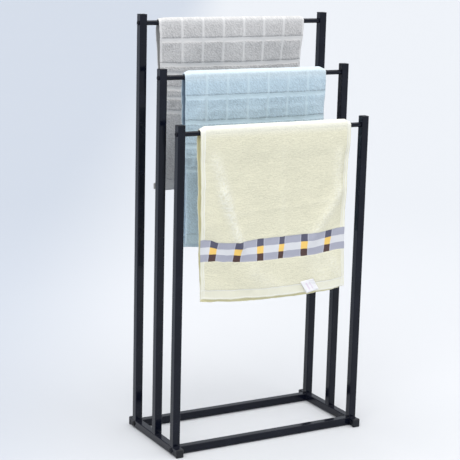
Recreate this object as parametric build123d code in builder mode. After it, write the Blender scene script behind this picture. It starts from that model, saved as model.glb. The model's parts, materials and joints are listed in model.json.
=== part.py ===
from build123d import *
import os

# Free-standing three-tier towel rack: two welded square-tube side frames joined by two cross rails
# and three round hanging bars, with a towel on each bar.
# Frame: +X along the bars, -Y to the front (lowest) tier, +Z up, origin on the floor under the
# middle of the base.  Millimetres.

# ---- driving dimensions ----
tube = 16.0                     # square tube, outside
wall = 1.0
tube_corner = 1.5               # outside corner radius of the tube
frame_spacing = 430.0           # left to right, upright centre to upright centre
front_to_middle = 83.0          # upright centres, front row to middle row
middle_to_rear = 94.0
foot_drop = 1.5                 # clear height under the rails
rail_overhang = 12.0            # side rail past the face of an end upright
upright_heights = {"front": 660.0, "middle": 761.0, "rear": 862.5}   # above the rail, cap included

cap_head = 1.2
cap_plug_depth = 10.0
cap_plug_wall = 1.5
plug_clearance = 0.05           # moulded plug to tube wall, each side

bar_diameter = 10.0
bar_wall = 1.0
bar_drop = 18.0                 # cap top to bar axis
bar_plug_length = 14.0

screw_shank = 5.0               # M5 pan head
screw_head = 10.0
screw_head_height = 2.0
screw_grip = 11.0               # shank inside the bar
cross_recess = 4.6              # length and width of the cross in the screws' heads
cross_recess_width = 0.9
bolt_shank = 6.0                # M6 low head
bolt_head = 11.0
bolt_head_height = 1.8
bolt_grip = 9.0                 # shank inside the cross rail
hex_socket_radius = 2.0
head_taper = 22                 # degrees, of both kinds of head
hole_clearance = 0.4            # on the diameter
thread_gap = 0.05               # on the radius, shank to tapped hole
socket_depth = 1.2
insert_gap = 0.01               # plugs and plates fixed inside a tube

nut_plate = 5.0                 # threaded plate in a cross rail's end
foot_head = 5.5                 # plastic end foot, beyond the tube
foot_margin = 0.25              # foot proud of the tube, each side
foot_chamfer = 1.5
foot_plug_depth = 18.0
snap_button = 8.0
snap_inset = 6.0                # button centre from the tube's end
snap_recess = 0.4               # button face below the tube's
weld_leg = 2.0
weld_throat = 0.42              # the bead's hollow face, as a share of its leg

towel_thickness = 4.0
towel_clearance = 0.3           # towel to bar
label_size = 28.0
label_thickness = 0.6
label_gap = 0.3                 # to the towel
label_offset = 92.0             # right of the towel's middle
label_rise = 19.0               # above the hem
label_turn = 20                 # degrees
# per towel: middle in X, width, front drop and back drop from the bar's axis
towels = {
    "front": (2.0, 345.0, 348.0, 364.0),
    "middle": (1.0, 334.0, 344.0, 354.0),
    "rear": (-7.0, 340.0, 339.0, 344.0),
}

# ---- derived places ----
rail_top = foot_drop + tube
half_frame = frame_spacing / 2
inner_span = frame_spacing - tube
depth_spacing = front_to_middle + middle_to_rear
row_y = {
    "front": -depth_spacing / 2,
    "middle": -depth_spacing / 2 + front_to_middle,
    "rear": depth_spacing / 2,
}
bar_z = {row: rail_top + height - bar_drop for row, height in upright_heights.items()}
side_x = {"left": -half_frame, "right": half_frame}
outward = {"left": -1, "right": 1}
ends = {"front": -1, "rear": 1}
side_rail_length = depth_spacing + tube + 2 * rail_overhang
side_rail_end = side_rail_length / 2
rail_axis_z = foot_drop + tube / 2
tube_bore = tube - 2 * wall
bore_corner = tube_corner - wall

os.makedirs("parts", exist_ok=True)


def save(piece, label):
    """Label a finished piece and write it as its own STEP file."""
    piece.part.label = label
    export_step(piece.part, f"parts/{label}.step")


def tube_profile():
    """Rounded square tube section, added to the sketch being built."""
    RectangleRounded(tube, tube, tube_corner)
    RectangleRounded(tube_bore, tube_bore, bore_corner, mode=Mode.SUBTRACT)


def across(x, y, z):
    """Plane whose normal runs along +X."""
    return Plane(origin=(x, y, z), x_dir=(0, 1, 0), z_dir=(1, 0, 0))


def along(x, y, z, sign=1):
    """Plane whose normal runs along Y, forwards or backwards."""
    return Plane(origin=(x, y, z), x_dir=(1, 0, 0), z_dir=(0, sign, 0))


# ---- side frames ----
def upright(row, side):
    """Square upright with screw holes through both walls at its bar."""
    with BuildPart() as post:
        with BuildSketch(Plane.XY.offset(rail_top)):
            with Locations((side_x[side], row_y[row])):
                tube_profile()
        extrude(amount=upright_heights[row] - cap_head)
        with BuildSketch(across(side_x[side] - tube, row_y[row], bar_z[row])):
            Circle((screw_shank + hole_clearance) / 2)
        extrude(amount=2 * tube, mode=Mode.SUBTRACT)
    save(post, f"upright_{row}_{side}")


def upright_cap(row, side):
    """Plastic plug closing the top of an upright, with a flat head and a thin skirt."""
    top = rail_top + upright_heights[row]
    plug = tube_bore - 2 * plug_clearance
    hollow = plug - 2 * cap_plug_wall
    with BuildPart() as cap:
        with BuildSketch(Plane.XY.offset(top - cap_head)):
            with Locations((side_x[side], row_y[row])):
                RectangleRounded(tube, tube, tube_corner)
        extrude(amount=cap_head)
        chamfer(cap.faces().sort_by(Axis.Z)[-1].edges(), cap_head / 3)
        with BuildSketch(Plane.XY.offset(top - cap_head)):
            with Locations((side_x[side], row_y[row])):
                RectangleRounded(plug, plug, bore_corner)
                RectangleRounded(hollow, hollow, bore_corner, mode=Mode.SUBTRACT)
        extrude(amount=-cap_plug_depth)
    save(cap, f"cap_{row}_{side}")


def side_rail(side):
    """Foot rail of a side frame, with bolt holes under the end uprights and snap holes at its ends."""
    with BuildPart() as rail:
        with BuildSketch(along(side_x[side], -side_rail_end, rail_axis_z)):
            tube_profile()
        extrude(amount=side_rail_length)
        with BuildSketch(across(side_x[side] - tube, 0, rail_axis_z)):
            with Locations((row_y["front"], 0), (row_y["rear"], 0)):
                Circle((bolt_shank + hole_clearance) / 2)
            with Locations((snap_inset - side_rail_end, 0), (side_rail_end - snap_inset, 0)):
                Circle((snap_button + hole_clearance) / 2)
        extrude(amount=2 * tube, mode=Mode.SUBTRACT)
    save(rail, f"side_rail_{side}")


def weld_beads():
    """Small fillet beads at the front and back of each upright's foot, on the side rails."""
    length = tube - 2 * tube_corner
    with BuildPart() as beads:
        for x in side_x.values():
            for y in row_y.values():
                for sign in (-1, 1):
                    root = y + sign * tube / 2
                    with BuildSketch(across(x - length / 2, root, rail_top)):
                        with BuildLine():
                            Line((0, 0), (sign * weld_leg, 0))
                            ThreePointArc(
                                (sign * weld_leg, 0),
                                (sign * weld_leg * weld_throat, weld_leg * weld_throat),
                                (0, weld_leg),
                            )
                            Line((0, weld_leg), (0, 0))
                        make_face()
                    extrude(amount=length)
    save(beads, "weld_beads")


def end_foot(end, side):
    """Moulded foot: block that carries the rail, plug inside it, two snap buttons."""
    sign = ends[end]
    x = side_x[side]
    tip = sign * side_rail_end
    height = rail_top + foot_margin
    width = tube + 2 * foot_margin
    plug = tube_bore - 2 * plug_clearance
    button_reach = tube - 2 * snap_recess
    with BuildPart() as foot:
        with BuildSketch(along(x, tip, height / 2, sign)):
            RectangleRounded(width, height, foot_margin + tube_corner)
        extrude(amount=foot_head)
        outer = foot.faces().sort_by(Axis.Y)[-1 if sign > 0 else 0]
        chamfer(outer.edges(), foot_chamfer)
        with BuildSketch(along(x, tip, rail_axis_z, -sign)):
            RectangleRounded(plug, plug, bore_corner)
        extrude(amount=foot_plug_depth)
        with BuildSketch(across(x - button_reach / 2, tip - sign * snap_inset, rail_axis_z)):
            Circle(snap_button / 2)
        extrude(amount=button_reach)
        with BuildSketch(across(x - plug, row_y[end], rail_axis_z)):
            Circle(bolt_shank / 2 + hole_clearance)
        extrude(amount=2 * plug, mode=Mode.SUBTRACT)
    save(foot, f"foot_{end}_{side}")


# ---- cross rails ----
def cross_rail(end):
    """Long base rail between the side frames."""
    with BuildPart() as rail:
        with BuildSketch(across(-inner_span / 2, row_y[end], rail_axis_z)):
            tube_profile()
        extrude(amount=inner_span)
    save(rail, f"cross_rail_{end}")


def rail_nut_plates():
    """Threaded square plates welded inside the cross rails' ends, one solid per end."""
    size = tube_bore - 2 * insert_gap
    with BuildPart() as plates:
        for end in ends:
            for sign in outward.values():
                with BuildSketch(across(sign * inner_span / 2, row_y[end], rail_axis_z)):
                    RectangleRounded(size, size, bore_corner)
                    Circle(bolt_shank / 2, mode=Mode.SUBTRACT)
                extrude(amount=-sign * nut_plate)
    save(plates, "rail_nut_plates")


def headed_fasteners(label, places, head, head_height, shank, length, hex_socket):
    """Group of low-headed screws pointing inwards, each seated on an outer face, with a drive recess."""
    with BuildPart() as group:
        for x, y, z, sign in places:
            with BuildSketch(across(x, y, z)):
                Circle(head / 2)
            extrude(amount=sign * head_height, taper=head_taper)
            with BuildSketch(across(x, y, z)):
                Circle(shank / 2 - thread_gap)
            extrude(amount=-sign * length)
            with BuildSketch(across(x + sign * head_height, y, z)):
                if hex_socket:
                    RegularPolygon(hex_socket_radius, 6)
                else:
                    Rectangle(cross_recess, cross_recess_width)
                    Rectangle(cross_recess_width, cross_recess)
            extrude(amount=-sign * socket_depth, mode=Mode.SUBTRACT)
    save(group, label)


def rail_bolts():
    """Four hex-socket bolts through the side rails into the cross rails."""
    places = [
        (side_x[side] + sign * tube / 2, row_y[end], rail_axis_z, sign)
        for end in ends
        for side, sign in outward.items()
    ]
    length = tube + bolt_grip
    headed_fasteners("rail_bolts", places, bolt_head, bolt_head_height, bolt_shank, length, True)


# ---- hanging bars ----
def hanging_bar(row):
    """Round tube between two uprights."""
    with BuildPart() as bar:
        with BuildSketch(across(-inner_span / 2, row_y[row], bar_z[row])):
            Circle(bar_diameter / 2)
            Circle(bar_diameter / 2 - bar_wall, mode=Mode.SUBTRACT)
        extrude(amount=inner_span)
    save(bar, f"bar_{row}")


def bar_end_plugs():
    """Threaded plugs fixed inside the bars' ends, one solid per end."""
    with BuildPart() as plugs:
        for row in row_y:
            for sign in outward.values():
                with BuildSketch(across(sign * inner_span / 2, row_y[row], bar_z[row])):
                    Circle(bar_diameter / 2 - bar_wall - insert_gap)
                    Circle(screw_shank / 2, mode=Mode.SUBTRACT)
                extrude(amount=-sign * bar_plug_length)
    save(plugs, "bar_end_plugs")


def bar_screws():
    """Six cross-recessed pan-head screws through the uprights into the bars."""
    places = [
        (side_x[side] + sign * tube / 2, row_y[row], bar_z[row], sign)
        for row in row_y
        for side, sign in outward.items()
    ]
    length = tube + screw_grip
    headed_fasteners("bar_screws", places, screw_head, screw_head_height, screw_shank, length, False)


# ---- towels ----
def towel(row):
    """Towel folded over a bar: one bent sheet with a front and a back panel."""
    middle, width, front_drop, back_drop = towels[row]
    inner = bar_diameter / 2 + towel_clearance
    outer = inner + towel_thickness
    with BuildPart() as cloth:
        with BuildSketch(across(middle - width / 2, row_y[row], bar_z[row])):
            with BuildLine():
                ThreePointArc((-outer, 0), (0, outer), (outer, 0))
                Line((outer, 0), (outer, -back_drop))
                Line((outer, -back_drop), (inner, -back_drop))
                Line((inner, -back_drop), (inner, 0))
                ThreePointArc((inner, 0), (0, inner), (-inner, 0))
                Line((-inner, 0), (-inner, -front_drop))
                Line((-inner, -front_drop), (-outer, -front_drop))
                Line((-outer, -front_drop), (-outer, 0))
            make_face()
        extrude(amount=width)
    save(cloth, f"towel_{row}")


def care_label():
    """Blank woven label sewn at the front towel's lower hem."""
    middle, _width, front_drop, _back_drop = towels["front"]
    reach = bar_diameter / 2 + towel_clearance + towel_thickness + label_gap
    z = bar_z["front"] - front_drop + label_rise
    with BuildPart() as label:
        with BuildSketch(along(middle + label_offset, row_y["front"] - reach, z, -1)):
            Rectangle(label_size, label_size, rotation=label_turn)
        extrude(amount=label_thickness)
    save(label, "care_label")


for row in row_y:
    for side in side_x:
        upright(row, side)
        upright_cap(row, side)
for side in side_x:
    side_rail(side)
    for end in ends:
        end_foot(end, side)
weld_beads()
for end in ends:
    cross_rail(end)
rail_nut_plates()
rail_bolts()
for row in row_y:
    hanging_bar(row)
bar_end_plugs()
bar_screws()
for row in towels:
    towel(row)
care_label()
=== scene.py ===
import json
import math
import bpy
import numpy as np
from mathutils import Matrix, Vector


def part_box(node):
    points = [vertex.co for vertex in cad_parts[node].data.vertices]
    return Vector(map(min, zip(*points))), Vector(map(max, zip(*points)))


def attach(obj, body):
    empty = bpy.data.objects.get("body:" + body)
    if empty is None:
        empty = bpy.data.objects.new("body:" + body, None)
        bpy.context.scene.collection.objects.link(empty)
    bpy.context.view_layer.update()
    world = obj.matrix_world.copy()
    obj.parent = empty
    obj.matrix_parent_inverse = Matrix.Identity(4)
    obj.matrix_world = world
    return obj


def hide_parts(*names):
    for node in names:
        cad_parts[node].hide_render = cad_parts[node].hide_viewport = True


# Free-standing three-tier towel rack with a terry towel on each bar.  Metres throughout.
# +X runs along the bars, -Y is the front, +Z is up.

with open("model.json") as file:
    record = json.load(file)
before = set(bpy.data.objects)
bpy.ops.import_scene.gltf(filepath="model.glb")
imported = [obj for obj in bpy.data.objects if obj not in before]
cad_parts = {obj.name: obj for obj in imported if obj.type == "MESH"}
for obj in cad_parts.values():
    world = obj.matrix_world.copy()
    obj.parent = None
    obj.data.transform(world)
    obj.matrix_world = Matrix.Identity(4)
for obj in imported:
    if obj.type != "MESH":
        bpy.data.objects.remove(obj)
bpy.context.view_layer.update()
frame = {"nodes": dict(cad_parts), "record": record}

MM = 0.001

# ---- colours, linear RGB ----
COAT = (0.0022, 0.0031, 0.0085)
COAT_DUST = (0.0044, 0.0058, 0.0125)
CAP_BLACK = (0.0085, 0.0090, 0.0115)
FOOT_BLACK = (0.0095, 0.0100, 0.0125)
SCREW_BLACK = (0.0025, 0.0028, 0.0040)
COAT_GLOSS = (0.80, 0.89, 1.0)
ZINC = (0.55, 0.56, 0.58)
ZINC_DULL = (0.45, 0.46, 0.48)
YELLOW = (0.705, 0.684, 0.533)
YELLOW_FLAT = (0.74, 0.728, 0.600)
# painted shade: deeper, more saturated colour for the inner skin inside the fold
YELLOW_INSIDE_SHADE = (0.74, 0.70, 0.42)
# painted highlight: paler colour for the fold's top and for raised creases
YELLOW_HIGHLIGHT = (0.88, 0.89, 0.86)
BLUE = (0.46, 0.585, 0.68)
BLUE_FLAT = (0.52, 0.65, 0.73)
# painted shade: deeper, more saturated colour for the inner skin inside the fold
BLUE_INSIDE_SHADE = (0.17, 0.24, 0.32)
# painted highlight: paler colour for the fold's top and for raised creases
BLUE_HIGHLIGHT = (0.71, 0.785, 0.82)
GREY = (0.535, 0.528, 0.530)
GREY_FLAT = (0.64, 0.635, 0.635)
# painted shade: deeper, more saturated colour for the inner skin inside the fold
GREY_INSIDE_SHADE = (0.36, 0.36, 0.355)
# painted highlight: paler colour for the fold's top and for raised creases
GREY_HIGHLIGHT = (0.82, 0.82, 0.82)
BAND_OUTER = (0.35, 0.36, 0.44)
BAND_INNER = (0.66, 0.67, 0.70)
BAND_SLATE = (0.065, 0.066, 0.112)
BAND_GOLD = (0.86, 0.56, 0.13)
BAND_BROWN = (0.050, 0.014, 0.008)
STITCH = (0.84, 0.85, 0.86)
LABEL_WHITE = (0.86, 0.855, 0.88)
LABEL_STRIPE = (0.70, 0.50, 0.68)
HORIZON = (0.64, 0.68, 0.74, 1.0)
CEILING = (0.31, 0.325, 0.34, 1.0)
SUN_WHITE = (1.0, 0.985, 0.96)
FLOOR = (0.475, 0.510, 0.575)
# painted light and shade on the floor: a lighter tone to the right and a darker tint far away
FLOOR_RIGHT_LIT = (0.615, 0.630, 0.662)
FAR_SHADE = (0.91, 0.92, 0.93)
# painted shade in the hollows between creases
HOLLOW_SHADE = (0.80, 0.80, 0.78)
BAND_THREAD = (0.62, 0.62, 0.66)
LABEL_THREAD = (0.66, 0.66, 0.70)

# ---- floor, in metres: painted light and shade, its tone changes along FLOOR_RUN and away from the middle of the rack ----
# each change or fade in this file is (where its middle is, half its width)
FLOOR_HALF = 60.0
FLOOR_RUN = (0.87, -0.49, 0.0)
FLOOR_CHANGE = (-0.45, 0.35)
FAR_CHANGE = (1.6, 1.2)

# ---- camera: angles in degrees, focal length in mm on a 36 mm sensor ----
CAMERA_AZIMUTH = 29.346
CAMERA_DOWN = 12.202
CAMERA_ROLL = 1.465
CAMERA_LENS = 112.08
CAMERA_AT = (-1.4807, -2.5471, 1.0693)

# ---- terry: scales of its noise and wave textures, over cloth coordinates in metres ----
LOOPS = 400.0
RIBS = 260.0
MOTTLE = 190.0
PATCHES = 30.0
SHADOW_PATCHES = 260.0
FIGURE = 90.0
STREAKS = 220.0

# ---- weave layout on the flat cloth, in metres ----
SELVAGE = 9 * MM              # flat-woven edge strip of the yellow towel
HEM = 20 * MM                 # flat-woven hem at each end
JACQUARD_LOW = 81 * MM        # yellow towel's patterned band, from the front hem
JACQUARD_HIGH = 127 * MM
# blocks of the band, in mm: (middle from the left edge, width, how far the lower end lies off to the left)
BLOCKS = (
    (29.5, 16.5, 6.5), (86, 16, 4.5), (139, 15.5, 1.5), (189, 11.5, 4), (244, 15.5, 0.5), (302.5, 15, 5),
)
PANE_COLUMNS = 7              # windowpane squares across, and the flat lines between them
PANE_PITCH_U = 48 * MM
PANE_LINE_U = 5.5 * MM
PANE_PITCH_V = 50 * MM
PANE_LINE_V = 9 * MM
PANE_ROWS_END = 100 * MM      # squares lie within this distance of the towel's middle
# flat bands beyond the squares, painted shadow lines and dobby band, in mm from the towel's middle
PANE_BANDS = ((114, 120), (144, 152), (165, 170), (193, 200))
PANE_SHADOW_LINES = (105, 142, 190.5)
PANE_DOBBY = (171.5, 186)
ENDS_FADE = (250 * MM, 80 * MM)
# painted highlight over the top of the fold: where it fades out, and how much of the paler colour it takes
CROWN_HIGHLIGHT_FADE = (13 * MM, 13 * MM)
CROWN_HIGHLIGHT_SHARE = 0.5


# ---------------------------------------------------------------- small helpers
def ease(t):
    """Smoothstep of t, which is clipped to 0..1."""
    t = np.clip(t, 0.0, 1.0)
    return t * t * (3 - 2 * t)


def curve(x, knots):
    """Smooth curve through a few (x, y) knots, level at each of them."""
    x = np.asarray(x, float)
    out = np.full(x.shape, float(knots[0][1]))
    for (x0, y0), (x1, y1) in zip(knots, knots[1:]):
        inside = x >= x0
        out = np.where(inside, y0 + (y1 - y0) * ease((x - x0) / (x1 - x0)), out)
    return out


def soft_noise(u, v, cell, seed):
    """Smooth random field over cloth coordinates u, v with features about one cell across, in -1..1."""
    rng = np.random.default_rng(seed)
    nu, nv = (int((a.max() - a.min()) / cell) + 4 for a in (u, v))
    grid = rng.uniform(-1, 1, (nu, nv))
    a = (u - u.min()) / cell
    b = (v - v.min()) / cell
    i = np.floor(a).astype(int)
    j = np.floor(b).astype(int)
    s = ease(a - i)
    t = ease(b - j)
    low = grid[i, j] * (1 - s) + grid[i + 1, j] * s
    high = grid[i, j + 1] * (1 - s) + grid[i + 1, j + 1] * s
    return low * (1 - t) + high * t


def mesh_object(name, points, faces, material, smooth=True):
    """New object from points and faces, in metres in the shared frame."""
    mesh = bpy.data.meshes.new(name)
    mesh.from_pydata([tuple(p) for p in points], [], [tuple(int(i) for i in f) for f in faces])
    mesh.update()
    mesh.materials.append(material)
    if smooth:
        mesh.polygons.foreach_set("use_smooth", [True] * len(mesh.polygons))
    obj = bpy.data.objects.new(name, mesh)
    bpy.context.scene.collection.objects.link(obj)
    return obj


def pane_side(width):
    """How wide the flat-woven strip beside a windowpane towel's squares is."""
    return (width - PANE_COLUMNS * PANE_PITCH_U + PANE_LINE_U) / 2


# ---------------------------------------------------------------- materials
class Shader:
    """Short-hand for one material's node tree around its Principled BSDF."""

    def __init__(self, name):
        self.material = bpy.data.materials.new(name)
        self.material.use_nodes = True
        self.nodes = self.material.node_tree.nodes
        self.links = self.material.node_tree.links
        self.bsdf = self.nodes["Principled BSDF"]

    def add(self, kind, inputs=None, **settings):
        node = self.nodes.new(kind)
        for key, value in settings.items():
            setattr(node, key, value)
        for key, value in (inputs or {}).items():
            self.put(node.inputs[key], value)
        return node

    def put(self, socket, value):
        """Link a socket, or set a plain value or colour."""
        if isinstance(value, bpy.types.NodeSocket):
            self.links.new(value, socket)
        elif isinstance(value, tuple) and len(value) == 3 and socket.type == "RGBA":
            socket.default_value = (*value, 1.0)
        else:
            socket.default_value = value

    def math(self, operation, a, b=0.0):
        return self.add("ShaderNodeMath", {0: a, 1: b}, operation=operation).outputs[0]

    def step(self, x, edge, soft):
        """0 below edge, 1 above it, with a soft change."""
        node = self.add(
            "ShaderNodeMapRange",
            {"Value": x, "From Min": edge - soft, "From Max": edge + soft, "To Min": 0.0, "To Max": 1.0},
            interpolation_type="SMOOTHSTEP",
        )
        return node.outputs["Result"]

    def band(self, x, low, high, soft):
        """1 between low and high, 0 outside."""
        return self.math("SUBTRACT", self.step(x, low, soft), self.step(x, high, soft))

    def either(self, *masks):
        total = masks[0]
        for mask in masks[1:]:
            total = self.math("MAXIMUM", total, mask)
        return total

    def from_edge(self, x, size):
        """Distance from the nearer of the two edges at 0 and size."""
        return self.math("MINIMUM", x, self.math("SUBTRACT", size, x))

    def mix(self, factor, a, b, blend="MIX"):
        node = self.add("ShaderNodeMix", data_type="RGBA", blend_type=blend)
        self.put(node.inputs[0], factor)
        self.put(node.inputs[6], a)
        self.put(node.inputs[7], b)
        return node.outputs[2]

    def noise(self, vector, scale, detail=2.0, roughness=0.5):
        node = self.add(
            "ShaderNodeTexNoise",
            {"Vector": vector, "Scale": scale, "Detail": detail, "Roughness": roughness},
        )
        return node.outputs["Fac"]

    def bump(self, height, distance, strength=1.0):
        node = self.add("ShaderNodeBump", {"Height": height, "Distance": distance, "Strength": strength})
        self.links.new(node.outputs["Normal"], self.bsdf.inputs["Normal"])

    def set(self, **values):
        """Set the shader's own sockets, with _ for spaces."""
        for key, value in values.items():
            self.put(self.bsdf.inputs[key.replace("_", " ")], value)

    def object_space(self):
        return self.add("ShaderNodeTexCoord").outputs["Object"]


def hard_material(name, base, worn, roughness, grain, grain_height, **finish):
    """Paint, plastic or metal: fine surface grain, faint tone variation and uneven gloss.
    finish sets more of the shader's own sockets."""
    s = Shader(name)
    place = s.object_space()
    tone = s.noise(place, 28.0, 3.0)
    s.set(Base_Color=s.mix(s.step(tone, 0.56, 0.16), base, worn))
    gloss = s.noise(place, 60.0, 4.0, 0.6)
    spread = s.add(
        "ShaderNodeMapRange",
        {"Value": gloss, "From Min": 0.3, "From Max": 0.7,
         "To Min": roughness - 0.05, "To Max": roughness + 0.06},
    )
    s.set(Roughness=spread.outputs["Result"], **finish)
    s.bump(s.noise(place, grain, 2.0, 0.6), grain_height)
    return s.material


def with_painted_inside_shade(s, colour, inside):
    """The cloth's colour, with painted shade on the skin that lies against the bar: a deeper, more
    saturated colour standing in for the shade and coloured interreflection inside the fold.
    """
    skin = s.add("ShaderNodeAttribute", attribute_name="inside").outputs["Fac"]
    return s.mix(skin, colour, inside)


def with_painted_fold_highlight(s, v, centre, colour, pale):
    """The cloth's colour with a painted highlight: paler over the top of the fold on the bar."""
    out = s.math("ABSOLUTE", s.math("SUBTRACT", v, centre))
    highlight = s.math("SUBTRACT", 1.0, s.step(out, *CROWN_HIGHLIGHT_FADE))
    return s.mix(s.math("MULTIPLY", highlight, CROWN_HIGHLIGHT_SHARE), colour, pale)


def with_painted_crease_light(s, colour, pale, share):
    """The cloth's colour with painted light: a painted highlight along raised creases, in streaks, and
    painted shade in their hollows.
    """
    level = s.add("ShaderNodeAttribute", attribute_name="crease_light").outputs["Fac"]
    raised = s.math("MAXIMUM", s.math("SUBTRACT", level, 0.5), 0.0)
    crease_shade = s.math("MAXIMUM", s.math("SUBTRACT", 0.5, level), 0.0)
    streaks = s.step(s.noise(weave_vector(s), STREAKS, 3.0, 0.6), 0.5, 0.22)
    streaky_highlight = s.math("MULTIPLY", raised, streaks)
    colour = s.mix(s.math("MULTIPLY", streaky_highlight, 2 * share), colour, pale)
    return s.mix(s.math("MULTIPLY", crease_shade, share), colour, HOLLOW_SHADE, "MULTIPLY")


def terry_base(name, pile, flat, pile_mask, crinkle, contrast, rows_run, rows_scale):
    """Cotton terry: looped pile where pile_mask(shader, u, v) is 1, fine flat weave elsewhere.
    crinkle is how far the loops lie in wandering rows, contrast how deep the painted shade between them is.
    Returns the shader, the two cloth coordinates and the mottled colour."""
    s = Shader(name)
    weave = weave_vector(s)
    split = s.add("ShaderNodeSeparateXYZ", {"Vector": weave})
    u, v = split.outputs["X"], split.outputs["Y"]
    mask = pile_mask(s, u, v)
    # single loops, about 2.5 mm apart
    loops = s.add(
        "ShaderNodeTexVoronoi",
        {"Vector": weave, "Scale": LOOPS, "Randomness": 0.9},
        voronoi_dimensions="2D", feature="SMOOTH_F1",
    ).outputs["Distance"]
    tips = s.math("SUBTRACT", 1.0, loops)
    # rows of loops, about 5 mm apart, that wander and break up
    rows = s.add(
        "ShaderNodeTexWave",
        {"Vector": weave, "Scale": rows_scale, "Distortion": 9.0, "Detail": 1.0,
         "Detail Scale": 1.5, "Detail Roughness": 0.5},
        wave_type="BANDS", bands_direction=rows_run,
    ).outputs["Fac"]
    ribs = s.add(
        "ShaderNodeTexWave",
        {"Vector": weave, "Scale": RIBS, "Distortion": 0.4},
        wave_type="BANDS", bands_direction="X",
    ).outputs["Fac"]
    mottle = s.noise(weave, MOTTLE, 3.0, 0.6)
    patches = s.noise(weave, PATCHES, 2.0)
    tufts = s.add("ShaderNodeMix", {0: crinkle, 2: tips, 3: rows}, data_type="FLOAT").outputs[0]
    depth = s.math("MULTIPLY", mask, s.math("ADD", tufts, s.math("MULTIPLY", mottle, 0.8)))
    fine = s.math("MULTIPLY", s.math("SUBTRACT", 1.0, mask), s.math("MULTIPLY", ribs, 0.12))
    s.bump(s.math("ADD", depth, fine), 1.3 * MM, 0.4)
    # painted shade between the loops and painted highlight on their tips, mixed with random mottling
    dark = tuple(c * (1 - contrast) for c in pile)
    light = tuple(min(1.0, c * (1 + 0.3 * contrast)) for c in pile)
    shade = s.math("ADD", s.math("MULTIPLY", tufts, 0.5), s.math("MULTIPLY", mottle, 0.6))
    looped = s.mix(s.step(shade, 0.55, 0.34), dark, light)
    tinted = s.mix(s.math("MULTIPLY", s.step(patches, 0.5, 0.25), 0.35), looped, light)
    plain = s.mix(s.math("MULTIPLY", ribs, 0.4), flat, tuple(c * 0.93 for c in flat))
    colour = s.mix(mask, plain, tinted)
    s.set(Roughness=0.95, Specular_IOR_Level=0.12, Sheen_Weight=0.75, Sheen_Roughness=0.42)
    return s, u, v, colour


def weave_vector(s):
    """Cloth coordinates in metres: across from the left edge, and along from the front hem."""
    return s.add("ShaderNodeUVMap", uv_map="weave").outputs["UV"]


def yellow_terry(length, width, centre):
    """Pale yellow terry with smooth selvages and hems and a woven band of stripes and blocks."""
    soft = 0.35 * MM

    def pile_mask(s, u, v):
        inside = s.step(s.from_edge(u, width), SELVAGE, 3 * soft)
        above_hem = s.step(s.from_edge(v, length), HEM, 3 * soft)
        no_band = s.math("SUBTRACT", 1.0, s.band(v, JACQUARD_LOW, JACQUARD_HIGH, soft))
        return s.math("MULTIPLY", s.math("MULTIPLY", inside, above_hem), no_band)

    s, u, v, colour = terry_base("terry_yellow", YELLOW, YELLOW_FLAT, pile_mask, 0.4, 0.15, "Y", 62.0)
    # painted highlight over the top of the fold
    colour = with_painted_fold_highlight(s, v, centre, colour, YELLOW_HIGHLIGHT)
    # painted highlight along raised creases and painted shade in their hollows
    colour = with_painted_crease_light(s, colour, YELLOW_HIGHLIGHT, 0.50)
    # the band: three stripes, crossed by columns of blocks
    stripe = (JACQUARD_HIGH - JACQUARD_LOW) / 3
    band_middle = (JACQUARD_HIGH + JACQUARD_LOW) / 2
    middle = s.band(v, JACQUARD_LOW + stripe, JACQUARD_HIGH - stripe, soft)
    upper = s.step(v, JACQUARD_HIGH - stripe, soft)
    rise = s.math("DIVIDE", s.math("SUBTRACT", v, band_middle), JACQUARD_HIGH - JACQUARD_LOW)
    columns, piping = [], []
    for at, wide, lean in BLOCKS:
        shift = s.math("SUBTRACT", s.math("SUBTRACT", u, at * MM), s.math("MULTIPLY", rise, lean * MM))
        off = s.math("ABSOLUTE", shift)
        half = wide * MM / 2
        columns.append(s.math("SUBTRACT", 1.0, s.step(off, half, soft)))
        piping.append(s.band(off, half + 0.8 * MM, half + 2.2 * MM, soft))
    ground = s.mix(middle, BAND_OUTER, BAND_INNER)
    ground = s.mix(s.math("MULTIPLY", s.either(*piping), 0.3), ground, BAND_INNER)
    block = s.mix(upper, s.mix(middle, BAND_BROWN, BAND_GOLD), BAND_SLATE)
    figured = s.mix(s.either(*columns), ground, block)
    satin = s.add(
        "ShaderNodeTexWave", {"Vector": weave_vector(s), "Scale": 170.0, "Distortion": 1.2},
        wave_type="BANDS", bands_direction="Y",
    ).outputs["Fac"]
    threads = s.math("MULTIPLY", s.math("ADD", satin, s.noise(weave_vector(s), 300.0)), 0.06)
    figured = s.mix(threads, figured, BAND_THREAD)
    # pairs of stitch lines on the selvages and hems
    side = s.from_edge(u, width)
    end = s.from_edge(v, length)
    stitch = s.either(
        s.band(side, SELVAGE - 1.2 * MM, SELVAGE + 0.2 * MM, soft),
        s.band(side, 2.6 * MM, 3.8 * MM, soft),
        s.band(end, HEM - 1.4 * MM, HEM, soft),
        s.band(end, 2.8 * MM, 4.0 * MM, soft),
    )
    colour = s.mix(s.math("MULTIPLY", stitch, 0.55), colour, STITCH)
    colour = s.mix(s.band(v, JACQUARD_LOW, JACQUARD_HIGH, soft), colour, figured)
    s.set(Sheen_Weight=0.4)
    # painted shade on the inner skin inside the fold
    s.set(Base_Color=with_painted_inside_shade(s, colour, YELLOW_INSIDE_SHADE))
    return s.material


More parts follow.
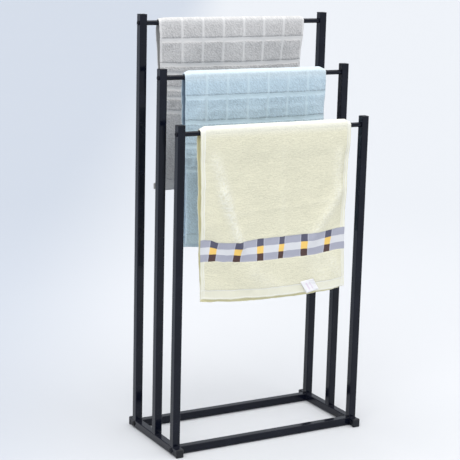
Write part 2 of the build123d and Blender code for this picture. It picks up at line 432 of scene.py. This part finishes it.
def pane_terry(name, look, length, width, centre):
    """Terry with a windowpane of flat-woven lines around squares of pile, and bands towards the ends.
    look is one of the two below, and centre is where the pattern is mirrored."""
    soft = 0.7 * MM
    side = pane_side(width)

    def from_middle(s, v):
        return s.math("ABSOLUTE", s.math("SUBTRACT", v, centre))

    def off_line(s, x, pitch):
        """Signed distance from the nearest of a row of lines."""
        place = s.math("DIVIDE", x, pitch)
        return s.math("MULTIPLY", s.math("SUBTRACT", place, s.math("ROUND", place)), pitch)

    def lines(s, u, v):
        """Mask of everything that is woven flat."""
        out = from_middle(s, v)
        off_u = s.math("ABSOLUTE", off_line(s, s.math("SUBTRACT", u, side - PANE_LINE_U / 2), PANE_PITCH_U))
        off_v = s.math("ABSOLUTE", off_line(s, out, PANE_PITCH_V))
        line_u = s.math("SUBTRACT", 1.0, s.step(off_u, PANE_LINE_U / 2, soft))
        line_v = s.math("SUBTRACT", 1.0, s.step(off_v, PANE_LINE_V / 2, soft))
        near = s.math("SUBTRACT", 1.0, s.step(out, PANE_ROWS_END + PANE_LINE_V / 2, soft))
        panes = s.math("MULTIPLY", s.either(line_u, line_v), near)
        bands = s.either(*[s.band(out, low * MM, high * MM, soft) for low, high in PANE_BANDS])
        edge = s.math("SUBTRACT", 1.0, s.step(s.from_edge(u, width), side, soft))
        hem = s.math("SUBTRACT", 1.0, s.step(s.from_edge(v, length), HEM, soft))
        return s.either(panes, s.math("MULTIPLY", bands, 0.8), edge, s.math("MULTIPLY", hem, 0.6))

    def pile_mask(s, u, v):
        return s.math("SUBTRACT", 1.0, s.math("MULTIPLY", lines(s, u, v), look["lift"]))

    pile = look["pile"]
    s, u, v, colour = terry_base(
        name, pile, look["flat"], pile_mask, 0.6, look["contrast"], "DIAGONAL", 85.0,
    )
    out = from_middle(s, v)
    # painted shadow lines where pile meets a flat band, and the darker dobby band
    off = off_line(s, out, PANE_PITCH_V)
    half = PANE_LINE_V / 2
    near = s.math("SUBTRACT", 1.0, s.step(out, PANE_ROWS_END, soft))
    shadow_line = s.math("MULTIPLY", s.band(off, -half - 1.8 * MM, -half + 0.4 * MM, soft), near)
    others = [s.band(out, (at - 1.0) * MM, (at + 1.0) * MM, soft) for at in PANE_SHADOW_LINES]
    others.append(s.band(s.from_edge(v, length), HEM - 0.3 * MM, HEM + 1.5 * MM, soft))
    shadow_lines = s.either(shadow_line, *others)
    patchy_shadow = s.math("MULTIPLY", s.step(s.noise(weave_vector(s), SHADOW_PATCHES, 1.0), 0.46, 0.2), 0.6)
    # painted shadow lines below the pile, broken up by noise
    colour = s.mix(s.math("MULTIPLY", shadow_lines, patchy_shadow), colour, tuple(c * 0.45 for c in pile))
    dobby = s.band(out, PANE_DOBBY[0] * MM, PANE_DOBBY[1] * MM, 3 * soft)
    figure = s.noise(weave_vector(s), FIGURE, 1.0)
    dobby = s.math("MULTIPLY", dobby, s.step(figure, 0.44, 0.14))
    colour = s.mix(s.math("MULTIPLY", dobby, 0.5), colour, tuple(c * 0.55 for c in pile))
    colour = s.mix(s.step(out, *ENDS_FADE), colour, (look["ends"],) * 3, "MULTIPLY")
    # painted highlight over the top of the fold
    colour = with_painted_fold_highlight(s, v, centre, colour, look["highlight"])
    # painted highlight along raised creases and painted shade in their hollows
    colour = with_painted_crease_light(s, colour, look["highlight"], 0.30)
    # painted shade on the inner skin inside the fold
    s.set(Base_Color=with_painted_inside_shade(s, colour, look["inside"]))
    return s.material


# ends is the tone of the towel's ends against its middle, lift how strongly the flat lines stand out
# from the pile, and contrast how deep the painted shade between the loops is
BLUE_LOOK = {
    "pile": BLUE, "flat": BLUE_FLAT, "inside": BLUE_INSIDE_SHADE, "highlight": BLUE_HIGHLIGHT,
    "ends": 1.15, "lift": 0.8, "contrast": 0.26,
}
GREY_LOOK = {
    "pile": GREY, "flat": GREY_FLAT, "inside": GREY_INSIDE_SHADE, "highlight": GREY_HIGHLIGHT,
    "ends": 0.60, "lift": 1.0, "contrast": 0.36,
}


def blue_terry(length, width, centre):
    return pane_terry("terry_blue", BLUE_LOOK, length, width, centre)


def grey_terry(length, width, centre):
    return pane_terry("terry_grey", GREY_LOOK, length, width, centre)


def label_cloth():
    """White woven label with faint plain stripes."""
    s = Shader("label_cloth")
    weave = weave_vector(s)
    split = s.add("ShaderNodeSeparateXYZ", {"Vector": weave})
    threads = s.add(
        "ShaderNodeTexWave", {"Vector": weave, "Scale": 700.0, "Distortion": 0.5},
        wave_type="BANDS", bands_direction="DIAGONAL",
    ).outputs["Fac"]
    soft = 1.2 * MM
    stripes = s.either(
        s.band(split.outputs["X"], 9 * MM, 12 * MM, soft),
        s.band(split.outputs["X"], 17 * MM, 19 * MM, soft),
    )
    inside = s.band(split.outputs["Y"], 5 * MM, 22 * MM, soft)
    tint = s.math("MULTIPLY", s.math("MULTIPLY", stripes, inside), 0.55)
    colour = s.mix(tint, LABEL_WHITE, LABEL_STRIPE)
    s.set(Base_Color=s.mix(s.math("MULTIPLY", threads, 0.12), colour, LABEL_THREAD))
    s.set(Roughness=0.6, Specular_IOR_Level=0.3, Sheen_Weight=0.1, Sheen_Roughness=0.4)
    s.bump(threads, 0.08 * MM)
    return s.material


# ---------------------------------------------------------------- towels
# Each towel: how it has been left on its bar, in mm.  Drops run from the bar's axis down to the hems,
# before any sag; puff is how far the unpressed pile stands up over the bar; shift is where a windowpane
# is mirrored, past the top of the fold; deep_to is how far down the inner skin keeps its painted shade;
# hem_flare is how far the left corners of the hems stand out.  left, right and back_left are (down,
# sideways) for the edges, with the front's left edge used behind too where there is no back_left.
# sag_top, sag_low and sag_hem are (across, how much lower) at band_top and band_low below the bar and
# at the hem.  Each fold is (start, end, width, height), start and end as (across, down).
THICK_PILE = 4.4 * MM
THICK_FLAT = 2.2 * MM
CELL_U = PANE_PITCH_U / 20      # the mesh keeps step with the windowpane
CELL_V = PANE_PITCH_V / 21
FOLD_RADIUS = 7.4 * MM
PUFF_IN = 14 * MM             # width over which the fold's puff grows from the thin edge
BELLY = 1.6 * MM              # the panel stands out from the bar below the fold
BELLY_LENGTH = 60 * MM
# a crease this high shows its full painted highlight or painted shade
CREASE_FULL = 6.0 * MM        # a crease this high shows its full tone
NEAREST = 3.0 * MM            # no closer than this to the bar's upright plane, so the panels stay apart
LABEL_SIDE = 29 * MM
LABEL_THICK = 0.45 * MM
# the label's corners as (x, z) in mm: bottom, right, top, left
LABEL_CORNERS = ((84, 310.5), (112, 318.5), (96, 342.5), (66, 337.5))

TOWELS = {
    "front": {
        "front_drop": 341, "back_drop": 350, "band_top": 213, "band_low": 259,
        "puff": 4.0, "shift": 0, "deep_to": 400, "hem_flare": 0,
        "left": ((0, -3.4), (130, 0), (230, 1.5), (341, 4.5)),
        "back_left": ((0, -3.4), (130, 0.7), (230, 5), (341, 11)),
        "right": ((0, 4.4), (115, 0.6), (222, -1.6), (341, 2.5)),
        "sag_top": ((0, 0), (20, 1.5), (45, 9), (68, 11), (88, 11), (150, 8.5), (260, 7), (345, 0)),
        "sag_low": ((0, -1), (28, 0), (62, 4), (102, 7.5), (150, 8), (245, 7), (345, 0)),
        "sag_hem": ((0, -4), (35, -1), (80, 3), (150, 5.8), (250, 6.3), (310, 4), (345, 0)),
        "folds": (
            ((34, 60), (58, 130), 13, 4.4),
            ((50, 120), (92, 222), 9, 6.2),
            ((30, 225), (75, 262), 18, -3.2),
            ((45, 275), (95, 325), 22, -4.2),
            ((318, 60), (322, 130), 11, 3.2),
            ((326, 140), (266, 222), 12, 3.6),
            ((338, 60), (334, 200), 8, -3.6),
            ((255, 215), (300, 345), 24, 2.6),
            ((8, 120), (12, 330), 7, -2.0),
            ((186, 40), (191, 232), 7, 1.1),
            ((60, 158), (300, 150), 6, 0.7),
            ((120, 30), (150, 150), 30, -1.8),
            ((215, 90), (250, 210), 26, -2.2),
            ((315, 285), (345, 340), 13, 3.0),
            ((130, 290), (210, 345), 20, 2.2),
        ),
        "seed": 3,
    },
    "middle": {
        "front_drop": 340, "back_drop": 350, "band_top": 120, "band_low": 220,
        "puff": 4.6, "shift": -2, "deep_to": 110, "hem_flare": 0,
        "left": ((0, -1), (100, 1.5), (338, 5.3)),
        "right": ((0, -2), (120, -5), (338, -8)),
        "sag_top": ((0, 0), (60, 2), (170, 3), (280, 2), (334, 0)),
        "sag_low": ((0, 0), (60, 3), (170, 5), (280, 3), (334, 0)),
        "sag_hem": ((0, 0), (60, 5), (170, 8), (280, 5), (334, 0)),
        "folds": (
            ((40, 40), (22, 180), 14, 3.0),
            ((312, 20), (322, 160), 12, 3.2),
            ((150, 120), (190, 330), 34, 3.4),
            ((80, 200), (60, 330), 26, -2.8),
            ((270, 150), (250, 330), 30, -3.0),
            ((60, 70), (300, 64), 6, 1.0),
        ),
        "seed": 5,
    },
    "rear": {
        "front_drop": 338.5, "back_drop": 343.5, "band_top": 120, "band_low": 220,
        "puff": 2.0, "shift": 3.3, "deep_to": 400, "hem_flare": 11,
        "left": ((0, -3), (87, -0.5), (335, 5.5)),
        "back_left": ((0, -3), (87, 1.5), (335, 7.5)),
        "right": ((0, 2), (96, -4), (335, -8)),
        "sag_top": ((0, 0), (60, 2), (200, 3), (300, 2), (340, 0)),
        "sag_low": ((0, 0), (60, 3), (200, 4), (300, 3), (340, 0)),
        "sag_hem": ((0, 2), (30, 6.5), (60, 7.5), (200, 8), (300, 4), (340, 0)),
        "folds": (
            ((60, 60), (40, 320), 22, 2.6),
            ((180, 40), (200, 320), 30, 3.2),
            ((300, 30), (290, 320), 20, -2.8),
            ((110, 20), (118, 120), 8, 1.4),
        ),
        "seed": 9,
    },
}


def ridge(x, down, start, end, width):
    """Soft ridge along the line from start to end, fading out past both."""
    ax, ay = start
    bx, by = end
    length = math.hypot(bx - ax, by - ay)
    t = ((x - ax) * (bx - ax) + (down - ay) * (by - ay)) / length
    off = ((x - ax) * (by - ay) - (down - ay) * (bx - ax)) / length
    past = np.where(t < 0, -t, np.where(t > length, t - length, 0))
    return np.exp(-(off / width) ** 2 - (past / (1.6 * width)) ** 2)


def spacing(length, step):
    """Cloth coordinates: even steps out from the middle, closing up at both edges to round them."""
    even = np.arange(0, length / 2 - 2 * MM, step)
    edge = length / 2 - np.array([1.4, 0.7, 0.25, 0.0]) * MM
    half = np.concatenate([even, edge])
    return length / 2 + np.concatenate([-half[:0:-1], half])


def nearest_line(x, pitch):
    """Distance from the nearest of a row of lines."""
    return np.abs(x / pitch - np.round(x / pitch)) * pitch


def pane_relief(u, v, width, length, centre):
    """0 on the flat-woven lines of a windowpane towel, 1 on its pile."""
    side = pane_side(width)
    out = np.abs(v - centre)
    off_u = nearest_line(u - side + PANE_LINE_U / 2, PANE_PITCH_U)
    off_v = nearest_line(out, PANE_PITCH_V)
    slope = 1.8 * MM
    raised = ease((off_u - PANE_LINE_U / 2) / slope + 0.5) * ease((off_v - PANE_LINE_V / 2) / slope + 0.5)
    raised = np.where(out < PANE_ROWS_END + PANE_LINE_V / 2, raised, 1.0)
    for low, high in PANE_BANDS:
        raised = np.where((out > low * MM) & (out < high * MM), 0.25, raised)
    raised = np.where(np.minimum(u, width - u) < side, 0.1, raised)
    return np.where(np.minimum(v, length - v) < HEM, 0.4, raised)


def yellow_relief(u, v, width, length, _centre):
    """0 on the smooth parts of the yellow towel, 1 on its pile."""
    end = np.minimum(v, length - v)
    slope = 2.2 * MM
    raised = ease((np.minimum(u, width - u) - SELVAGE) / slope + 0.5)
    raised = raised * (0.35 + 0.65 * ease((end - HEM) / slope + 0.5))
    flat = ease((v - JACQUARD_LOW) / slope + 0.5) * ease((JACQUARD_HIGH - v) / slope + 0.5)
    return raised * (1 - flat)


def drape(row, width, length):
    """Where the middle of the cloth goes: its points and their cloth coordinates, how far round the bar
    and down each one is, and how high its creases stand."""
    how = TOWELS[row]
    front, back = how["front_drop"] * MM, how["back_drop"] * MM
    arc = math.pi * FOLD_RADIUS
    low, _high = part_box(f"towel_{row}")
    bar_low, bar_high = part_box(f"bar_{row}")
    axis = (bar_low + bar_high) / 2
    u, v = np.meshgrid(spacing(width, CELL_U), spacing(length, CELL_V), indexing="ij")
    behind = v > front + arc
    angle = np.clip((v - front) / FOLD_RADIUS, 0, math.pi)
    down = np.where(behind, v - front - arc, np.maximum(front - v, 0.0))
    share = down / np.where(behind, back, front)
    x_mm = u / MM
    down_mm = share * front / MM
    # lower in the middle of the panel than at its woven edges
    knees = (0.0, how["band_top"] * MM / front, how["band_low"] * MM / front, 1.0)
    sag = np.zeros_like(u)
    for name, begin, end in zip(("sag_top", "sag_low", "sag_hem"), knees, knees[1:]):
        goal = curve(x_mm, how[name]) * MM
        sag = np.where(share > begin, sag + (goal - sag) * ease((share - begin) / (end - begin)), sag)
    # sideways: the edges draw in or out on the way down
    back_left = how.get("back_left", how["left"])
    left = np.where(behind, curve(down_mm, back_left), curve(down_mm, how["left"])) * MM
    right = curve(down_mm, how["right"]) * MM
    across = u / width
    side = left * (1 - across) ** 3 + right * across ** 3
    side = side - how["hem_flare"] * MM * ease((down_mm - front / MM + 17) / 6) * (1 - across) ** 6
    # out of plane: the creases, half as high behind, and looser random waves
    seed = how["seed"]
    own_u = np.where(behind, u + 1.0, u)
    out = 2.0 * MM * soft_noise(own_u, v, 75 * MM, seed)
    out = out + 0.8 * MM * soft_noise(own_u, v, 27 * MM, seed + 50)
    creases = np.zeros_like(u)
    for start, end, wide, height in how["folds"]:
        crease = ridge(x_mm, down_mm, start, end, wide) * height * MM
        creases = creases + np.where(behind, 0.5 * crease, crease)
    out = out + creases
    out = out * ease(share / 0.25) + 0.3 * MM * soft_noise(own_u, v, 11 * MM, seed + 90)
    reach = FOLD_RADIUS + out + BELLY * np.sin(np.pi * np.clip(down / BELLY_LENGTH, 0, 1))
    reach = 0.5 * (reach + NEAREST + np.sqrt((reach - NEAREST) ** 2 + NEAREST ** 2 / 4))
    wobble = 0.5 * MM * soft_noise(own_u, v, 9 * MM, seed + 20)
    points = np.stack([
        low.x + u + side + wobble,
        axis.y - reach * np.cos(angle),
        axis.z + reach * np.sin(angle) - down - sag + wobble * ease(share / 0.1),
    ], axis=-1)
    return points, u, v, angle, down, creases


def normals(points, angle):
    """Unit normals of a grid of points, on the side away from the bar."""
    normal = np.cross(np.gradient(points, axis=0), np.gradient(points, axis=1))
    normal /= np.linalg.norm(normal, axis=-1, keepdims=True)
    outward = normal[..., 2] * np.sin(angle) - normal[..., 1] * np.cos(angle)
    return normal * np.sign(outward.mean())


def closed_cloth(name, outer, inner, u, v, values, material):
    """Object of two skins joined round their rim, with the cloth coordinates as its "weave" UVs and
    named values for its material: a pair each, for the outer skin and the inner one."""
    nu, nv = u.shape
    points = np.concatenate([outer.reshape(-1, 3), inner.reshape(-1, 3)])
    index = np.arange(nu * nv).reshape(nu, nv)
    corners = (index[:-1, :-1], index[1:, :-1], index[1:, 1:], index[:-1, 1:])
    quads = np.stack(corners, axis=-1).reshape(-1, 4)
    rim = np.concatenate([index[:, 0], index[-1, 1:], index[-2::-1, -1], index[0, -2:0:-1]])
    follow = np.roll(rim, -1)
    band = np.stack([rim, rim + nu * nv, follow + nu * nv, follow], axis=-1)
    faces = np.concatenate([quads, quads[:, ::-1] + nu * nv, band])
    obj = mesh_object(name, points, faces, material)
    flat = np.stack([u.ravel(), v.ravel()], axis=-1)
    flat = np.concatenate([flat, flat])
    loops = np.zeros(len(obj.data.loops), np.int32)
    obj.data.loops.foreach_get("vertex_index", loops)
    layer = obj.data.uv_layers.new(name="weave")
    layer.data.foreach_set("uv", flat[loops].astype(np.float32).ravel())
    for key, skins in values.items():
        layer = obj.data.attributes.new(key, "FLOAT", "POINT")
        layer.data.foreach_set("value", np.concatenate([a.ravel() for a in skins]).astype(np.float32))
    return obj


def towel(row, material_for, relief):
    """One terry towel folded over its bar: a closed cloth with real thickness, creases and relief.
    Returns the object and its outer skin."""
    how = TOWELS[row]
    low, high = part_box(f"towel_{row}")
    width = high.x - low.x
    arc = math.pi * FOLD_RADIUS
    length = (how["front_drop"] + how["back_drop"]) * MM + arc
    centre = (how["front_drop"] + how["shift"]) * MM + arc / 2
    middle, u, v, angle, down, creases = drape(row, width, length)
    normal = normals(middle, angle)
    # thickness: full on pile, thin on flat weave, rounded off at the cut edges
    raised = relief(u, v, width, length, centre)
    tufts = 0.30 * MM * soft_noise(u, v, 4.8 * MM, how["seed"] + 7) * raised
    half = (THICK_FLAT + (THICK_PILE - THICK_FLAT) * raised) / 2
    from_side = np.minimum(u, width - u)
    edge = np.clip(np.minimum(from_side, np.minimum(v, length - v)) / (1.6 * MM), 0, 1)
    rounding = np.sqrt(np.clip(1 - (1 - edge) ** 2, 0.0025, 1))
    # the pile stands up over the bar, more away from the thin edges
    swell = 0.8 * np.sin(angle) + 0.2 * np.exp(-(down / BELLY_LENGTH) ** 2)
    puff = how["puff"] * MM * ease(from_side / PUFF_IN) * swell
    outer = middle + normal * ((half + tufts) * rounding + puff)[..., None]
    inner = middle - normal * (half * rounding)[..., None]
    # painted shade: the inner skin gets a deeper colour for the shade inside the fold, except at its rim
    # and far down
    inside = ease(edge) * (1 - ease((down - how["deep_to"] * MM) / BELLY_LENGTH))
    # painted highlight on raised creases and painted shade in their hollows, passed to the material
    crease_light = 0.5 + 0.5 * np.clip(creases / CREASE_FULL, -1, 1)
    values = {"inside": (0 * u, inside), "crease_light": (crease_light, 1 - crease_light)}
    cloth = material_for(length, width, centre)
    obj = closed_cloth(f"terry_towel_{row}", outer, inner, u, v, values, cloth)
    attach(obj, f"towel_{row}")
    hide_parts(f"towel_{row}")
    return obj, outer


def care_label(skin):
    """Small woven label, lying on the front towel across its hem."""
    bottom, right, top, left = (Vector((x * MM, z * MM)) for x, z in LABEL_CORNERS)
    count = 15
    s, t = np.meshgrid(np.linspace(0, 1, count), np.linspace(0, 1, count), indexing="ij")
    place = [
        bottom[k] * (1 - s) * (1 - t) + right[k] * s * (1 - t) + top[k] * s * t + left[k] * (1 - s) * t
        for k in (0, 1)
    ]
    # rest each point on the cloth's outer skin in front of the bar
    near = skin[:, : skin.shape[1] // 3].reshape(-1, 3)
    gap = (near[:, 0, None] - place[0].ravel()) ** 2 + (near[:, 2, None] - place[1].ravel()) ** 2
    on_cloth = near[gap.argmin(axis=0), 1].reshape(count, count)
    level = on_cloth.mean() + 0.5 * (on_cloth - on_cloth.mean())
    lift = LABEL_THICK + 0.5 * MM + 2.6 * MM * (s * t) ** 2 + 1.2 * MM * (1 - s) ** 3
    face = np.stack([place[0], np.minimum(level, on_cloth) - lift, place[1]], axis=-1)
    back = face + np.array([0, LABEL_THICK, 0])
    size = LABEL_SIDE
    obj = closed_cloth("woven_care_label", face, back, s * size, t * size, {}, label_cloth())
    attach(obj, "towel_front")
    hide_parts("care_label")


# ---------------------------------------------------------------- assembly
def dress_rack():
    """Give the rack's own CAD nodes their materials."""
    slots = {
        "powder_coat": hard_material(
            "powder_coat", COAT, COAT_DUST, 0.12, 900.0, 0.010 * MM,
            Specular_IOR_Level=0.10, Specular_Tint=COAT_GLOSS,
            Sheen_Weight=0.12, Sheen_Roughness=0.3, Coat_Weight=0.30, Coat_Roughness=0.08,
        ),
        "black_plastic": hard_material(
            "cap_plastic", CAP_BLACK, COAT, 0.42, 1400.0, 0.04 * MM, Specular_IOR_Level=0.2,
        ),
        "foot_plastic": hard_material(
            "foot_plastic", FOOT_BLACK, COAT_DUST, 0.40, 1200.0, 0.05 * MM, Specular_IOR_Level=0.3,
        ),
        "black_steel": hard_material(
            "black_screw", SCREW_BLACK, COAT, 0.30, 700.0, 0.02 * MM, Specular_IOR_Level=0.1,
        ),
        "weld": hard_material(
            "painted_weld", COAT, COAT_DUST, 0.55, 600.0, 0.10 * MM, Specular_IOR_Level=0.1,
        ),
        "zinc_steel": hard_material(
            "zinc_plate", ZINC, ZINC_DULL, 0.35, 500.0, 0.03 * MM, Metallic=1.0,
        ),
    }
    for part in frame["record"]["subparts"]:
        slot = "weld" if part["node"] == "weld_beads" else part["material_slot"]
        if slot in slots:
            mesh = frame["nodes"][part["node"]].data
            mesh.materials.clear()
            mesh.materials.append(slots[slot])


dress_rack()
yellow, yellow_skin = towel("front", yellow_terry, yellow_relief)
towel("middle", blue_terry, pane_relief)
towel("rear", grey_terry, pane_relief)
care_label(yellow_skin)


# ---------------------------------------------------------------- stage, light and camera
def stage():
    """Pale floor with painted light and shade: a little whiter to the right and darker far away."""
    half = FLOOR_HALF
    s = Shader("studio_floor")
    place = s.object_space()
    along = s.add("ShaderNodeVectorMath", {0: place, 1: FLOOR_RUN}, operation="DOT_PRODUCT")
    # painted light: whiter to the right; painted shade: darker far away
    tone = s.mix(s.step(along.outputs["Value"], *FLOOR_CHANGE), FLOOR, FLOOR_RIGHT_LIT)
    away = s.add("ShaderNodeVectorMath", {0: place}, operation="LENGTH")
    tone = s.mix(s.step(away.outputs["Value"], *FAR_CHANGE), tone, FAR_SHADE, "MULTIPLY")
    paper = s.noise(place, 1.5)
    s.set(Base_Color=s.mix(s.math("MULTIPLY", paper, 0.03), tone, FLOOR_RIGHT_LIT))
    s.set(Roughness=0.9, Specular_IOR_Level=0.0)
    corners = [(-half, -half, 0), (half, -half, 0), (half, half, 0), (-half, half, 0)]
    floor = mesh_object("floor", corners, [(0, 1, 2, 3)], s.material, smooth=False)


def sun(name, azimuth, elevation, spread, strength, colour):
    """Soft distant light from a direction: azimuth in degrees from -Y towards +X."""
    light = bpy.data.lights.new(name, "SUN")
    light.energy = strength
    light.angle = math.radians(spread)
    light.color = colour
    obj = bpy.data.objects.new(name, light)
    bpy.context.scene.collection.objects.link(obj)
    a, e = math.radians(azimuth), math.radians(elevation)
    towards = Vector((math.sin(a) * math.cos(e), -math.cos(a) * math.cos(e), math.sin(e)))
    obj.rotation_euler = (-towards).to_track_quat("-Z", "Y").to_euler()


def light_studio():
    """Even pale surroundings, a large soft light overhead and two weaker ones from the sides."""
    world = bpy.data.worlds.new("studio")
    bpy.context.scene.world = world
    world.use_nodes = True
    nodes, links = world.node_tree.nodes, world.node_tree.links
    background = nodes["Background"]
    background.inputs["Strength"].default_value = 1.0
    towards = nodes.new("ShaderNodeTexCoord")
    split = nodes.new("ShaderNodeSeparateXYZ")
    ramp = nodes.new("ShaderNodeValToRGB")
    links.new(towards.outputs["Generated"], split.inputs[0])
    links.new(split.outputs["Z"], ramp.inputs[0])
    links.new(ramp.outputs[0], background.inputs["Color"])
    low, high = ramp.color_ramp.elements
    low.position, low.color = 0.25, HORIZON
    high.position, high.color = 0.6, CEILING
    sun("overhead", 5.0, 82.0, 85.0, 3.25, SUN_WHITE)
    sun("right", 70.0, 35.0, 40.0, 0.2, SUN_WHITE)
    sun("left", -50.0, 24.0, 40.0, 0.9, SUN_WHITE)


def place_camera():
    """Long lens from the front left, a little above the rack's top, rolled by about 1.5 degrees."""
    azimuth, down, roll = (math.radians(a) for a in (CAMERA_AZIMUTH, CAMERA_DOWN, CAMERA_ROLL))
    forward = Vector((
        math.sin(azimuth) * math.cos(down),
        math.cos(azimuth) * math.cos(down),
        -math.sin(down),
    ))
    right = forward.cross(Vector((0, 0, 1))).normalized()
    up = right.cross(forward)
    tilted_right = right * math.cos(roll) + up * math.sin(roll)
    tilted_up = up * math.cos(roll) - right * math.sin(roll)
    camera = bpy.data.objects.new("camera", bpy.data.cameras.new("camera"))
    bpy.context.scene.collection.objects.link(camera)
    camera.data.sensor_width = 36.0
    camera.data.lens = CAMERA_LENS
    turn = Matrix((tilted_right, tilted_up, -forward)).transposed().to_4x4()
    camera.matrix_world = Matrix.Translation(CAMERA_AT) @ turn
    camera.data.clip_end = 200.0
    bpy.context.scene.camera = camera


stage()
light_studio()
place_camera()
bpy.context.scene.view_settings.view_transform = "Standard"
